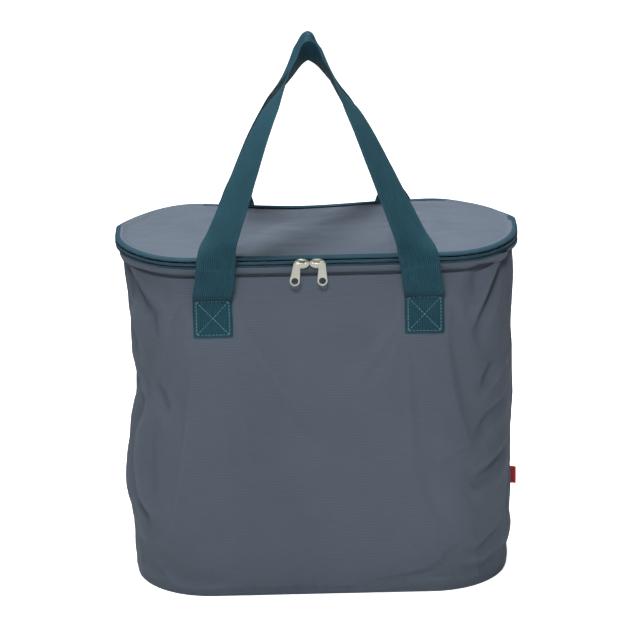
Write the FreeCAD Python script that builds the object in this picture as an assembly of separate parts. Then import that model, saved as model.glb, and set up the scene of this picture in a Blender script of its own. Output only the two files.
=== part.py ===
"""Insulated cooler bag: a soft rectangular bag with rounded ends, a zipped lid and two webbing handles.

Frame, in millimetres: the origin is the centre of the base on the floor, +Z is up, +X runs along
the bag's length, and the front, with the zip's sliders, faces -Y.
"""

import FreeCAD, Part
import math
import os
from FreeCAD import Placement, Rotation, Vector

# ---- Driving dimensions ----
RIM_HALF_LENGTH = 198.0
RIM_HALF_DEPTH = 98.0
RIM_CORNER_RADIUS = 84.0
ZIP_HEIGHT = 350.0
BODY_TOP_HEIGHT = 342.0
BODY_TOP_INSET = 6.0
BASE_HALF_LENGTH = 187.0
LID_TOP_HEIGHT = 357.5

FABRIC = 0.8
FOAM = 5.0
LINING = 0.4
FIT = 0.2
HANDLE_BACKING_ROOM = 1.0
SEAM_GAP = 0.6
HINGE_STRIP_HALF_LENGTH = 80.0

STRAP_WIDTH = 38.0
STRAP_THICKNESS = 1.8
PATCH_LOW, PATCH_HIGH = 274.0, 312.5
THREAD = 0.25
STITCH_WIDTH = 0.8
RISER_HINGE_Y, RISER_HINGE_Z = -94.9, 313.0
LOOP_HINGE_Z = 352.0
APEX_X = -4.0
# Half the distance between a handle's two legs, from its stitched ends up to near its grip
FRONT_LEGS = (102.0, 98.0, 87.0, 63.2, 31.2, 17.7)
BACK_LEGS = (80.0, 77.0, 68.0, 48.5, 23.5, 18.0)
# Each loop's grip: its depth from the bag's middle, its height, and the strap's tilt in degrees
FRONT_GRIP = (15.9, 539.7, 54.0)
BACK_GRIP = (17.0, 535.5, 37.0)

SLIDER_MEETING_X = -8.0
PULL_LENGTH = 21.5
LEFT_PULL_LEAN = 8.0

# ---- Sizes worked out from them ----
BODY_HALF_LENGTH = RIM_HALF_LENGTH - BODY_TOP_INSET
BODY_HALF_DEPTH = RIM_HALF_DEPTH - BODY_TOP_INSET
BODY_CORNER_RADIUS = RIM_CORNER_RADIUS - BODY_TOP_INSET
FOAM_INSET = FABRIC + HANDLE_BACKING_ROOM
LINING_INSET = FOAM_INSET + FOAM + FIT
BASE_FOAM_LOW = FABRIC + FIT
BASE_FOAM_HIGH = BASE_FOAM_LOW + FOAM
TAPE_THICKNESS = 0.9
COIL_WIDTH = 2.6
COIL_HEIGHT = 2.0
COIL_GAP = 1.2
COIL_LOW = ZIP_HEIGHT - COIL_GAP / 2 - COIL_HEIGHT
COIL_HIGH = ZIP_HEIGHT + COIL_GAP / 2 + COIL_HEIGHT
STRAP_OUT_Y = -111.5


# ---- Helpers ----
def outline(half_length, half_depth, radius, z):
    """A rounded rectangle as one closed wire at height z."""
    x, y = half_length - radius, half_depth - radius
    diagonal = radius * math.sqrt(0.5)
    edges = []
    for sign_x, sign_y in ((1, 1), (-1, 1), (-1, -1), (1, -1)):
        along = Vector(sign_x * half_length, sign_y * y, z)
        across = Vector(sign_x * x, sign_y * half_depth, z)
        middle = Vector(sign_x * (x + diagonal), sign_y * (y + diagonal), z)
        ends = (along, across) if sign_x == sign_y else (across, along)
        edges.append(Part.Arc(ends[0], middle, ends[1]).toShape())
    for here, after in ((0, 1), (1, 2), (2, 3), (3, 0)):
        start = edges[here].Vertexes[-1].Point
        end = edges[after].Vertexes[0].Point
        edges.append(Part.LineSegment(start, end).toShape())
    return Part.Wire(Part.__sortEdges__(edges))


def rim_outline(inset, z):
    return outline(RIM_HALF_LENGTH - inset, RIM_HALF_DEPTH - inset, RIM_CORNER_RADIUS - inset, z)


def body_outline(inset, z):
    """The bag's outside at height z, moved inward by inset. The ends taper towards the base."""
    half_length = BASE_HALF_LENGTH + (BODY_HALF_LENGTH - BASE_HALF_LENGTH) * z / BODY_TOP_HEIGHT
    return outline(half_length - inset, BODY_HALF_DEPTH - inset, BODY_CORNER_RADIUS - inset, z)


def block(x0, x1, y0, y1, z0, z1):
    return Part.makeBox(x1 - x0, y1 - y0, z1 - z0, Vector(x0, y0, z0))


def wall(outer_inset, inner_inset, z0, z1):
    """A hollow wall between two insets of the body's outline."""
    outer = Part.makeLoft([body_outline(outer_inset, z0), body_outline(outer_inset, z1)], True, True)
    inner = Part.makeLoft([body_outline(inner_inset, z0), body_outline(inner_inset, z1)], True, True)
    return outer.cut(inner)


def plate(make_outline, inset, z0, z1):
    face = Part.Face(make_outline(inset, z0))
    return face.extrude(Vector(0, 0, z1 - z0))


def rim_ring(outer_inset, inner_inset, z0, z1):
    return plate(rim_outline, outer_inset, z0, z1).cut(plate(rim_outline, inner_inset, z0, z1))


def sloped_ring(inset0, z0, inset1, z1, thickness):
    """A tape that runs round the rim and slopes between two insets."""
    outer = Part.makeLoft([rim_outline(inset0, z0), rim_outline(inset1, z1)], True, True)
    inner = Part.makeLoft([rim_outline(inset0 + thickness, z0), rim_outline(inset1 + thickness, z1)], True, True)
    return outer.cut(inner)


def without_hinge_stretch(shape):
    """Leave out the middle of the back, where the hinge strip takes the zip's place."""
    gap = HINGE_STRIP_HALF_LENGTH
    return shape.cut(block(-gap, gap, 0, RIM_HALF_DEPTH + 5, BODY_TOP_HEIGHT - 5, LID_TOP_HEIGHT + 5))


def half(shape, side):
    """The front (-1) or back (+1) half, with half a seam's gap left at each side."""
    reach = RIM_HALF_LENGTH + 20
    y0, y1 = sorted((side * SEAM_GAP / 2, side * (RIM_HALF_DEPTH + 20)))
    return shape.common(block(-reach, reach, y0, y1, -5, LID_TOP_HEIGHT))


def mirrored_to_back(shape):
    return shape.mirror(Vector(0, 0, 0), Vector(0, 1, 0))


def write(name, shapes):
    solids = [solid for shape in shapes for solid in shape.Solids]
    result = solids[0] if len(solids) == 1 else Part.makeCompound(solids)
    result.exportStep(os.path.join("parts", name + ".step"))


# ---- The bag ----
def outer_panels():
    skin = wall(0, FABRIC, BASE_FOAM_LOW, BODY_TOP_HEIGHT)
    write("front_panel", [half(skin, -1)])
    write("back_panel", [half(skin, 1)])
    write("base_panel", [plate(body_outline, 0, 0, FABRIC)])


def insulation():
    write("wall_foam", [wall(FOAM_INSET, FOAM_INSET + FOAM, BASE_FOAM_HIGH + FIT, BODY_TOP_HEIGHT - 0.5)])
    write("base_foam", [plate(body_outline, FOAM_INSET, BASE_FOAM_LOW, BASE_FOAM_HIGH)])


def inner_lining():
    low = BASE_FOAM_HIGH + FIT
    write("wall_lining", [wall(LINING_INSET, LINING_INSET + LINING, low, BODY_TOP_HEIGHT - 0.5)])
    write("base_lining", [plate(body_outline, LINING_INSET + LINING + FIT, low, low + LINING)])


def rim_binding():
    """Closes the wall's top edge, over foam and lining."""
    outer = BODY_TOP_INSET + 1.2
    write("rim_binding", [rim_ring(outer, outer + 7.4, BODY_TOP_HEIGHT + 0.2, BODY_TOP_HEIGHT + 1.2)])


def zip_tapes():
    lower = sloped_ring(BODY_TOP_INSET, BODY_TOP_HEIGHT + 0.2, 0.8, COIL_LOW - 0.2, TAPE_THICKNESS)
    upper = sloped_ring(0.8, COIL_HIGH + 0.2, 5.0, LID_TOP_HEIGHT - 1.0, TAPE_THICKNESS)
    write("lower_zip_tape", [without_hinge_stretch(lower)])
    write("upper_zip_tape", [without_hinge_stretch(upper)])


def zip_coils():
    lower = rim_ring(0, COIL_WIDTH, COIL_LOW, COIL_LOW + COIL_HEIGHT)
    upper = rim_ring(0, COIL_WIDTH, COIL_HIGH - COIL_HEIGHT, COIL_HIGH)
    write("lower_zip_coil", [without_hinge_stretch(lower)])
    write("upper_zip_coil", [without_hinge_stretch(upper)])


def hinge_strip():
    """The fabric strip at the back's middle that the lid turns on."""
    reach = HINGE_STRIP_HALF_LENGTH - 0.5
    ring = sloped_ring(BODY_TOP_INSET, BODY_TOP_HEIGHT + 0.2, 0.3, ZIP_HEIGHT - 0.6, TAPE_THICKNESS)
    write("lid_hinge_strip", [ring.common(block(-reach, reach, 0, RIM_HALF_DEPTH + 5, 330, ZIP_HEIGHT))])


def rim_topstitch():
    z = BODY_TOP_HEIGHT - 9.0
    write("rim_topstitch", [wall(-THREAD - 0.05, -0.05, z, z + STITCH_WIDTH)])


def side_label():
    """A folded tab caught in the right side seam."""
    low, high = 81.0, 99.0
    start = BASE_HALF_LENGTH + (BODY_HALF_LENGTH - BASE_HALF_LENGTH) * high / BODY_TOP_HEIGHT + 0.3
    write("side_label", [block(start, start + 7.5, -0.6, 0.6, low, high)])


# ---- The lid ----
def lid():
    write("lid_panel", [plate(rim_outline, 5.0, LID_TOP_HEIGHT - FABRIC, LID_TOP_HEIGHT)])
    write("lid_foam", [plate(rim_outline, 8.5, ZIP_HEIGHT + 1.1, ZIP_HEIGHT + 1.1 + FOAM)])
    write("lid_lining", [plate(rim_outline, 8.5, ZIP_HEIGHT + 0.5, ZIP_HEIGHT + 0.5 + LINING)])
    write("lid_binding", [rim_ring(3.2, 8.1, ZIP_HEIGHT + COIL_GAP / 2, ZIP_HEIGHT + 2.2)])
    thread = rim_ring(12.0, 12.0 + STITCH_WIDTH, LID_TOP_HEIGHT + 0.05, LID_TOP_HEIGHT + 0.05 + THREAD)
    write("lid_topstitch", [thread])


# ---- The handles ----
def sewn_on(outer, thickness, shape):
    """The part of a layer around the body's front that lies within a shape."""
    return wall(outer, outer + thickness, PATCH_LOW - 10, BODY_TOP_HEIGHT).common(shape)


def handle_ends(x_out):
    """A handle's stitched-down squares, and the patches behind them inside the fabric."""
    fronts, backings = [], []
    for side in (-1, 1):
        x0, x1 = side * x_out - STRAP_WIDTH / 2, side * x_out + STRAP_WIDTH / 2
        square = block(x0, x1, -120, 0, PATCH_LOW, PATCH_HIGH)
        fronts.append(sewn_on(-0.1 - STRAP_THICKNESS, STRAP_THICKNESS, square))
        margin = 4.0
        backing = block(x0 - margin, x1 + margin, -120, 0, PATCH_LOW - margin, PATCH_HIGH + margin)
        backings.append(sewn_on(FABRIC + 0.15, HANDLE_BACKING_ROOM - 0.3, backing))
    return fronts, backings


def thread_bar(x0, z0, x1, z1):
    """A thin upright slab whose front edge shows as one line of stitching."""
    length = math.hypot(x1 - x0, z1 - z0) + STITCH_WIDTH
    bar = Part.makeBox(length, 30, STITCH_WIDTH, Vector(-length / 2, -120, -STITCH_WIDTH / 2))
    turn = Rotation(Vector(0, 1, 0), -math.degrees(math.atan2(z1 - z0, x1 - x0)))
    bar.Placement = Placement(Vector((x0 + x1) / 2, 0, (z0 + z1) / 2), turn)
    return bar


def handle_stitches(x_out):
    """A square of stitching with an X across it, on each stitched-down end."""
    border = 4.0
    fronts = []
    for side in (-1, 1):
        x0 = side * x_out - STRAP_WIDTH / 2 + border
        x1 = side * x_out + STRAP_WIDTH / 2 - border
        z0, z1 = PATCH_LOW + border, PATCH_HIGH - border
        corners = ((x0, z0), (x1, z0), (x1, z1), (x0, z1))
        lines = [corners[i] + corners[(i + 1) % 4] for i in range(4)]
        lines += [corners[0] + corners[2], corners[1] + corners[3]]
        bars = [thread_bar(*line) for line in lines]
        cross = bars[0].multiFuse(bars[1:])
        fronts.append(sewn_on(-0.15 - STRAP_THICKNESS - THREAD, THREAD, cross))
    return fronts


def riser_profile():
    """The strap's path in the YZ plane: out over the zip's rim, then up."""
    start = Vector(0, RISER_HINGE_Y - 1.1, RISER_HINGE_Z)
    bend = Vector(0, -106.5, 320.5)
    upright = Vector(0, STRAP_OUT_Y, LOOP_HINGE_Z - 1.0)
    curve = Part.BSplineCurve()
    curve.interpolate([start, bend, upright], InitialTangent=Vector(0, -14, 3), FinalTangent=Vector(0, 0, 30))
    return curve


def offset_points(curve, distance, count=17):
    points = []
    for i in range(count):
        u = curve.FirstParameter + (curve.LastParameter - curve.FirstParameter) * i / (count - 1)
        along = curve.tangent(u)[0]
        across = Vector(0, -along.z, along.y)
        points.append(curve.value(u) + across * distance)
    return points


def handle_risers(x_out):
    """The two short lengths of strap between the stitching and the rim."""
    curve = riser_profile()
    sides = []
    for distance in (-STRAP_THICKNESS / 2, STRAP_THICKNESS / 2):
        side = Part.BSplineCurve()
        side.interpolate(offset_points(curve, distance))
        sides.append(side)
    inner, outer = sides
    low = Part.LineSegment(inner.StartPoint, outer.StartPoint)
    high = Part.LineSegment(inner.EndPoint, outer.EndPoint)
    profile = Part.Wire(Part.__sortEdges__([part.toShape() for part in (inner, high, outer, low)]))
    fronts = []
    for side in (-1, 1):
        riser = Part.Face(profile).extrude(Vector(STRAP_WIDTH, 0, 0))
        riser.translate(Vector(side * x_out - STRAP_WIDTH / 2, 0, 0))
        fronts.append(riser)
    return fronts


def loop_centreline(legs, grip_depth, grip_height):
    """Up from the left rim, over the grip, and down to the right rim, on the bag's front."""
    climb = ((STRAP_OUT_Y, LOOP_HINGE_Z + 1.0), (-111.2, 362.0), (-105.0, 385.0), (-78.0, 439.0))
    climb += ((-grip_depth - 21.0, 499.5), (-grip_depth - 8.0, grip_height - 19.0))
    left, right = [], []
    for x, (y, z) in zip(legs, climb):
        lean = APEX_X * math.sqrt(max(0.0, z - LOOP_HINGE_Z - 1.0) / (grip_height - LOOP_HINGE_Z))
        left.append(Vector(lean - x, y, z))
        right.insert(0, Vector(lean + x, y, z))
    curve = Part.BSplineCurve()
    points = left + [Vector(APEX_X, -grip_depth, grip_height)] + right
    curve.interpolate(points)
    return curve


def eased(share):
    share = min(1.0, max(0.0, share))
    return share * share * (3 - 2 * share)


def strap_turn(climb):
    """How far the strap has turned on edge, in radians, at a share of the climb to the grip."""
    first = 29.0 * eased(climb / 0.12)
    steady = 26.0 * min(1.0, climb / 0.75)
    last = 20.0 * eased((climb - 0.68) / 0.22)
    return math.radians(first + steady + last)


def loop_section(curve, fraction, tilt):
    """The strap's rectangle at a fraction of the way along the loop."""
    u = curve.FirstParameter + (curve.LastParameter - curve.FirstParameter) * fraction
    side = -1 if fraction < 0.5 else 1
    centre, along = curve.value(u), curve.tangent(u)[0]
    if fraction in (0, 1):
        along = Vector(0, 0, -side)
    angle = strap_turn(1 - abs(2 * fraction - 1))
    upright = Vector(0, -math.cos(tilt), math.sin(tilt))
    edge = Vector(-side * math.cos(angle), 0, 0) + upright * math.sin(angle)
    edge = (edge - along * edge.dot(along)).normalize()
    face = along.cross(edge)
    corners = []
    for across, out in ((-1, -1), (1, -1), (1, 1), (-1, 1)):
        corners.append(centre + edge * (across * STRAP_WIDTH / 2) + face * (out * STRAP_THICKNESS / 2))
    return corners


def solid_over(sections):
    """A closed solid with a ruled face between each pair of matching section sides."""
    faces = [Part.Face(Part.makePolygon(end + end[:1])) for end in (sections[0], sections[-1])]
    for here, after in zip(sections, sections[1:]):
        for i in range(4):
            low = Part.LineSegment(here[i], here[(i + 1) % 4]).toShape()
            high = Part.LineSegment(after[i], after[(i + 1) % 4]).toShape()
            faces.append(Part.makeRuledSurface(low, high))
    shell = Part.makeShell(faces)
    shell.sewShape()
    return Part.makeSolid(shell)


def handle_loop(legs, grip_depth, grip_height, tilt_degrees):
    """A carrying loop: each leg's inner edge turns forward, to lead at the grip."""
    curve = loop_centreline(legs, grip_depth, grip_height)
    tilt = math.radians(tilt_degrees)
    count = 36
    return solid_over([loop_section(curve, i / count, tilt) for i in range(count + 1)])


def handles():
    backings = []
    for name, legs, grip in (("front", FRONT_LEGS, FRONT_GRIP), ("back", BACK_LEGS, BACK_GRIP)):
        ends, patches = handle_ends(legs[0])
        parts = {"ends": ends, "stitches": handle_stitches(legs[0])}
        parts["risers"] = handle_risers(legs[0])
        parts["loop"] = [handle_loop(legs, *grip)]
        if name == "back":
            patches = [mirrored_to_back(shape) for shape in patches]
            parts = {part: [mirrored_to_back(shape) for shape in shapes] for part, shapes in parts.items()}
        for part, shapes in parts.items():
            write(f"{name}_handle_{part}", shapes)
        backings += patches
    write("handle_backing_patches", backings)


# ---- The zip's sliders and pull tabs ----
FRONT_PLATE_Y = (-101.4, -100.2)
BACK_PLATE_Y = (-95.2, -94.2)
CROWN_BAR_Y = (-106.4, -105.2)
PULL_Y = (-104.7, -103.1)
LEG_RADIUS = 1.2
EYE_CLEARANCE = 0.08
CROWN_OUTER, CROWN_INNER = 4.6, -4.1


def slider(centre_x, outward):
    """One slider: a plate each side of the coil, joined through the gap, and a crown for the pull."""
    half_long, half_high = 7.4, 4.75
    oval = Part.Wire(Part.Ellipse(Vector(0, 0, 0), half_long, half_high).toShape())
    front = Part.Face(oval).extrude(Vector(0, 0, FRONT_PLATE_Y[1] - FRONT_PLATE_Y[0]))
    front.rotate(Vector(0, 0, 0), Vector(1, 0, 0), -90)
    front.translate(Vector(centre_x, FRONT_PLATE_Y[0], ZIP_HEIGHT))
    web = block(centre_x - 3, centre_x + 3, FRONT_PLATE_Y[1] - 0.4, BACK_PLATE_Y[1],
                ZIP_HEIGHT - 0.4, ZIP_HEIGHT + 0.4)
    back = block(centre_x - 6, centre_x + 6, *BACK_PLATE_Y, ZIP_HEIGHT - 3, ZIP_HEIGHT + 0.4)
    pieces = [web, back]
    for offset in (CROWN_OUTER, CROWN_INNER):
        length = FRONT_PLATE_Y[0] + 0.4 - CROWN_BAR_Y[0] - 0.4
        base = Vector(centre_x + outward * offset, FRONT_PLATE_Y[0] + 0.4, ZIP_HEIGHT)
        pieces.append(Part.makeCylinder(LEG_RADIUS, length, base, Vector(0, -1, 0)))
    ends = sorted(centre_x + outward * (offset + sign * 1.6)
                  for offset, sign in ((CROWN_OUTER, 1), (CROWN_INNER, -1)))
    bar = block(ends[0], ends[1], *CROWN_BAR_Y, ZIP_HEIGHT - 1.7, ZIP_HEIGHT + 1.7)
    upright = [edge for edge in bar.Edges if abs(edge.tangentAt(0).y) > 0.9]
    pieces.append(bar.makeFillet(1.2, upright))
    return front.multiFuse(pieces).removeSplitter()


def pull_tab(eye_x, lean):
    """A flat tapered tab with an eye for the crown's leg and a round finger hole near its tip."""
    top_half, tip_half, eye_radius, hole_radius = 3.2, 4.8, 3.2, 3.4
    tip_z = -PULL_LENGTH + tip_half
    eye = Part.makeCylinder(eye_radius, PULL_Y[1] - PULL_Y[0], Vector(0, PULL_Y[0], 0), Vector(0, 1, 0))
    tip = Part.makeCylinder(tip_half, PULL_Y[1] - PULL_Y[0], Vector(0, PULL_Y[0], tip_z), Vector(0, 1, 0))
    corners = [Vector(x, PULL_Y[0], z) for x, z in
               ((-top_half, 0), (top_half, 0), (tip_half, tip_z), (-tip_half, tip_z), (-top_half, 0))]
    blade = Part.Face(Part.makePolygon(corners)).extrude(Vector(0, PULL_Y[1] - PULL_Y[0], 0))
    tab = eye.multiFuse([tip, blade]).removeSplitter()
    for radius, z in ((LEG_RADIUS + EYE_CLEARANCE, 0), (hole_radius, tip_z)):
        tab = tab.cut(Part.makeCylinder(radius, 20, Vector(0, PULL_Y[0] - 10, z), Vector(0, 1, 0)))
    tab.rotate(Vector(0, 0, 0), Vector(0, 1, 0), lean)
    tab.translate(Vector(eye_x, 0, ZIP_HEIGHT))
    return tab


def zip_hardware():
    for name, outward, lean in (("left", -1, LEFT_PULL_LEAN), ("right", 1, 0)):
        centre_x = SLIDER_MEETING_X + outward * 7.5
        write(name + "_slider_body", [slider(centre_x, outward)])
        write(name + "_pull_tab", [pull_tab(centre_x + outward * CROWN_OUTER, lean)])


os.makedirs("parts", exist_ok=True)
outer_panels()
insulation()
inner_lining()
rim_binding()
zip_tapes()
zip_coils()
hinge_strip()
rim_topstitch()
side_label()
lid()
handles()
zip_hardware()
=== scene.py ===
import math

import bmesh
import bpy
import numpy as np
from mathutils import Matrix, Vector
from mathutils.kdtree import KDTree


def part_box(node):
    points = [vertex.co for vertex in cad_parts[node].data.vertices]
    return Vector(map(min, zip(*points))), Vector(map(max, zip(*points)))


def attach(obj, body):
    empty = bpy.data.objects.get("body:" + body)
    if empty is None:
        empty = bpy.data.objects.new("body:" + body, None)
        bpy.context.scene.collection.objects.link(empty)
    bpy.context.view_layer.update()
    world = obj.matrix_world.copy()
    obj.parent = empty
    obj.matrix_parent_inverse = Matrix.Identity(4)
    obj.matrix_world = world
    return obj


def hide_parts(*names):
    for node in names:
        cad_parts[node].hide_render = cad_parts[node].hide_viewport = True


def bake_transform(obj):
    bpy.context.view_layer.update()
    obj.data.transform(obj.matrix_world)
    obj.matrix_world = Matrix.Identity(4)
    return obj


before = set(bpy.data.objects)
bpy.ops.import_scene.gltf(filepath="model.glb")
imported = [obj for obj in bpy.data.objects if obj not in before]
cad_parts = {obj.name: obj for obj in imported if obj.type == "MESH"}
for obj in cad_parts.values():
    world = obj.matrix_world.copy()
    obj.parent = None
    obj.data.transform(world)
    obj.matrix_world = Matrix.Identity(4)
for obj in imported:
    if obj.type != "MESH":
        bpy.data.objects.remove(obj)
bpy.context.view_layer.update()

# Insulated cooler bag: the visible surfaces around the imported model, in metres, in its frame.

MM = 0.001

# ---- Sizes taken from the frame ----
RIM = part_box("lower_zip_coil")[1]
LID_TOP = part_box("lid_panel")[1].z
BODY_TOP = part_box("back_panel")[1]
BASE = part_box("base_panel")[1]
ZIP_Z = (RIM.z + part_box("upper_zip_coil")[0].z) / 2
PATCH_LOW, PATCH_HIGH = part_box("front_handle_ends")
LABEL_LOW, LABEL_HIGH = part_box("side_label")
HINGE_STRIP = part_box("lid_hinge_strip")[1].x

# ---- Sizes of the design that a box doesn't give ----
BODY_RADIUS = 78 * MM
BASE_ROUND = 7 * MM
CLOTH = 0.8 * MM
FOIL = 0.35 * MM
STITCH_DROP = 6.2 * MM
LID_EDGE = LID_TOP - 2.2 * MM
STRAP_WIDTH = 38 * MM
STRAP_THICK = 1.7 * MM
# Half the distance between each handle's legs in mm, from its stitched ends up to near its grip
LEGS = {
    "front": (102.0, 97.2, 95.4, 86.8, 63.2, 31.2, 17.0, 7.4),
    "back": (80.0, 79.2, 76.2, 68.2, 49.0, 23.5, 17.0, 7.6),
}
# Each grip in mm: its depth from the bag's middle, its height, and the strap's tilt in degrees
GRIPS = {"front": (15.9, 537.6, 54.0), "back": (17.0, 534.0, 37.0)}
GRIP_X = -4
# How far a handle's legs lean sideways near the grip, in mm
APEX_LEAN = {"front": -4.0, "back": -5.5}
# How a leg turns on edge: its first turn in degrees, the share of the climb that this takes, and
# the slow turn that goes on above it
TURNS = {"front": (29, 0.12, 26), "back": (41, 0.06, 14)}
TWIST_START = {"front": 347 * MM, "back": 337 * MM}
LOOP_START = 347 * MM
# Where the webbing bends: (depth, height) below and above each bend, in mm
RISER_BEND = ((93.5, 312.6), (101.0, 318.5))
LOOP_BEND = ((112.5, 347.5), (112.5, 360.0))
ACROSS = np.array([1.0, 0, 0])

CORE_Y = BODY_TOP.y - BODY_RADIUS
CORE_X_TOP = BODY_TOP.x - BODY_RADIUS
CORE_X_BASE = BASE.x - BODY_RADIUS
RIM_REACH = RIM.y - BODY_TOP.y
ARC = math.pi / 2 * BODY_RADIUS
PERIMETER = 4 * (CORE_X_TOP + CORE_Y + ARC)
RIGHT_SEAM, LEFT_SEAM, MIDDLE_BACK = 0.0, PERIMETER / 2, PERIMETER * 0.75


# ---- Mesh helpers ----
def xyz(x, y, z):
    """Points from their coordinates, each an array or one number."""
    return np.stack(np.broadcast_arrays(x, y, z), -1)


def add_object(name, data):
    made = bpy.data.objects.new(name, data)
    bpy.context.scene.collection.objects.link(made)
    return made


def make_piece(name, points, faces, uvs=None):
    """A smooth mesh object; uvs holds one (u, v) in metres for each face corner, in order."""
    mesh = bpy.data.meshes.new(name)
    mesh.from_pydata(np.asarray(points, float).reshape(-1, 3).tolist(), [], faces)
    if uvs is not None:
        layer = mesh.uv_layers.new(name="UVMap")
        layer.data.foreach_set("uv", np.asarray(uvs, np.float32).ravel())
    mesh.polygons.foreach_set("use_smooth", [True] * len(mesh.polygons))
    mesh.validate()
    mesh.update()
    return add_object(name, mesh)


def grid_faces(rows, columns, closed_rows=False, closed_columns=False):
    """Quads over a grid of points, and for each quad its corners' grid places before wrapping."""
    i, j = np.meshgrid(np.arange(rows if closed_rows else rows - 1),
                       np.arange(columns if closed_columns else columns - 1), indexing="ij")
    i, j = i.ravel(), j.ravel()
    corners = [np.stack(corner) for corner in ((i, j), (i, j + 1), (i + 1, j + 1), (i + 1, j))]
    places = np.stack(corners).transpose(2, 0, 1)
    faces = (places[:, :, 0] % rows) * columns + places[:, :, 1] % columns
    return faces, places


def running_length(points):
    """Distance along a line of points, from its first one."""
    return np.concatenate([[0], np.cumsum(np.linalg.norm(np.diff(points, axis=0), axis=1))])


def lengths_along(points):
    """Running length down the first axis, averaged over the second, with a last closing step."""
    steps = np.linalg.norm(np.roll(points, -1, 0) - points, axis=2).mean(1)
    return np.concatenate([[0], np.cumsum(steps)])


def grid_piece(name, points, closed_rows=False, closed_columns=False, flip=False):
    """A piece over a grid (rows, columns, 3), with UVs in metres: u along a row, v down the rows."""
    rows, columns = points.shape[:2]
    faces, places = grid_faces(rows, columns, closed_rows, closed_columns)
    v = lengths_along(points)
    u = lengths_along(points.transpose(1, 0, 2))
    uvs = np.stack([u[places[:, :, 1]], v[places[:, :, 0]]], -1)
    if flip:
        faces, uvs = faces[:, ::-1], uvs[:, ::-1]
    return make_piece(name, points, faces.tolist(), uvs)


def cap_ends(piece, rows, columns, sharp=True):
    """Close the two open ends of a swept tube."""
    shape = bmesh.new()
    shape.from_mesh(piece.data)
    shape.verts.ensure_lookup_table()
    for column in (0, columns - 1):
        cap = shape.faces.new([shape.verts[row * columns + column] for row in range(rows)])
        for rim_edge in cap.edges:
            rim_edge.smooth = not sharp
    bmesh.ops.recalc_face_normals(shape, faces=shape.faces)
    shape.to_mesh(piece.data)
    shape.free()


def bake_modifiers(piece):
    """Turn the piece's modifiers into its mesh."""
    bpy.context.view_layer.update()
    evaluated = piece.evaluated_get(bpy.context.evaluated_depsgraph_get())
    mesh = bpy.data.meshes.new_from_object(evaluated)
    piece.modifiers.clear()
    old, piece.data = piece.data, mesh
    bpy.data.meshes.remove(old)
    return piece


def thicken(piece, thickness, levels=0):
    """Give a sheet its thickness, inward, and round it with subdivision."""
    solid = piece.modifiers.new("thickness", "SOLIDIFY")
    solid.thickness = thickness
    solid.offset = -1
    if levels:
        rounded = piece.modifiers.new("round", "SUBSURF")
        rounded.levels = rounded.render_levels = levels
    return bake_modifiers(piece)


def closed_sheet(name, rows):
    """A sheet of rings, joined where the last ones close on the bag's middle line."""
    piece = grid_piece(name, np.asarray(rows), closed_columns=True)
    piece.modifiers.new("weld", "WELD").merge_threshold = 0.02 * MM
    return bake_modifiers(piece)


def paint(piece, material):
    piece.data.materials.clear()
    piece.data.materials.append(material)


def place(piece, slot, body, *nodes):
    """Give a piece its slot's material, its body, and the CAD nodes that it stands for."""
    paint(piece, MATERIALS[slot])
    if body:
        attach(piece, body)
    if nodes:
        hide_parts(*nodes)
    return piece


def ripple(x, y, wavelength, seed, count=7):
    """A smooth random field between about -1 and 1, made of seeded plane waves."""
    pick = np.random.default_rng(seed)
    total = np.zeros(np.broadcast(x, y).shape)
    for _ in range(count):
        heading = pick.uniform(0, 2 * math.pi)
        size = 2 * math.pi / (wavelength * pick.uniform(0.7, 1.6))
        total += np.sin((x * math.cos(heading) + y * math.sin(heading)) * size + pick.uniform(0, 6.28))
    return total / math.sqrt(count)


# ---- The bag's outline ----
def around(s):
    """Core place (kx, ky) and outward direction (nx, ny) at arc length s from the right seam,
    going by way of the front."""
    s = np.mod(s, PERIMETER)
    half = np.where(s > PERIMETER / 2, PERIMETER - s, s)
    back = np.where(s > PERIMETER / 2, -1.0, 1.0)
    marks = np.cumsum([CORE_Y, ARC, 2 * CORE_X_TOP, ARC])
    end = np.clip(half / CORE_Y, 0, 1)
    turn = np.clip((half - marks[0]) / ARC, 0, 1)
    run = np.clip((half - marks[1]) / (2 * CORE_X_TOP), 0, 1)
    turn2 = np.clip((half - marks[2]) / ARC, 0, 1)
    end2 = np.clip((half - marks[3]) / CORE_Y, 0, 1)
    angle = (turn + turn2) * math.pi / 2
    return 1 - 2 * run, -(end - end2) * back, np.cos(angle), -np.sin(angle) * back


def outward(s):
    """The outward direction (nx, ny, 0) at arc length s."""
    return xyz(*around(s)[2:], 0)


def top_x(s):
    """How far right of the middle the body's top edge is at arc length s."""
    kx, _, nx, _ = around(s)
    return kx * CORE_X_TOP + nx * BODY_RADIUS


def full_turn(count):
    """Arc lengths once round the bag."""
    return np.linspace(0, PERIMETER, count, endpoint=False)


def outline(s, z, out):
    """Points on the bag's outline at height z, moved out along the normal."""
    kx, ky, nx, ny = around(s)
    core_x = CORE_X_BASE + (CORE_X_TOP - CORE_X_BASE) * np.clip(z / BODY_TOP.z, 0, 1)
    reach = BODY_RADIUS + out
    return xyz(kx * core_x + nx * reach, ky * CORE_Y + ny * reach, z)


def spine(ring, half_length):
    """For each point of a ring, the nearest place on the bag's middle line."""
    return xyz(np.clip(ring[:, 0], -half_length, half_length), 0, ring[:, 2])


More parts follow.
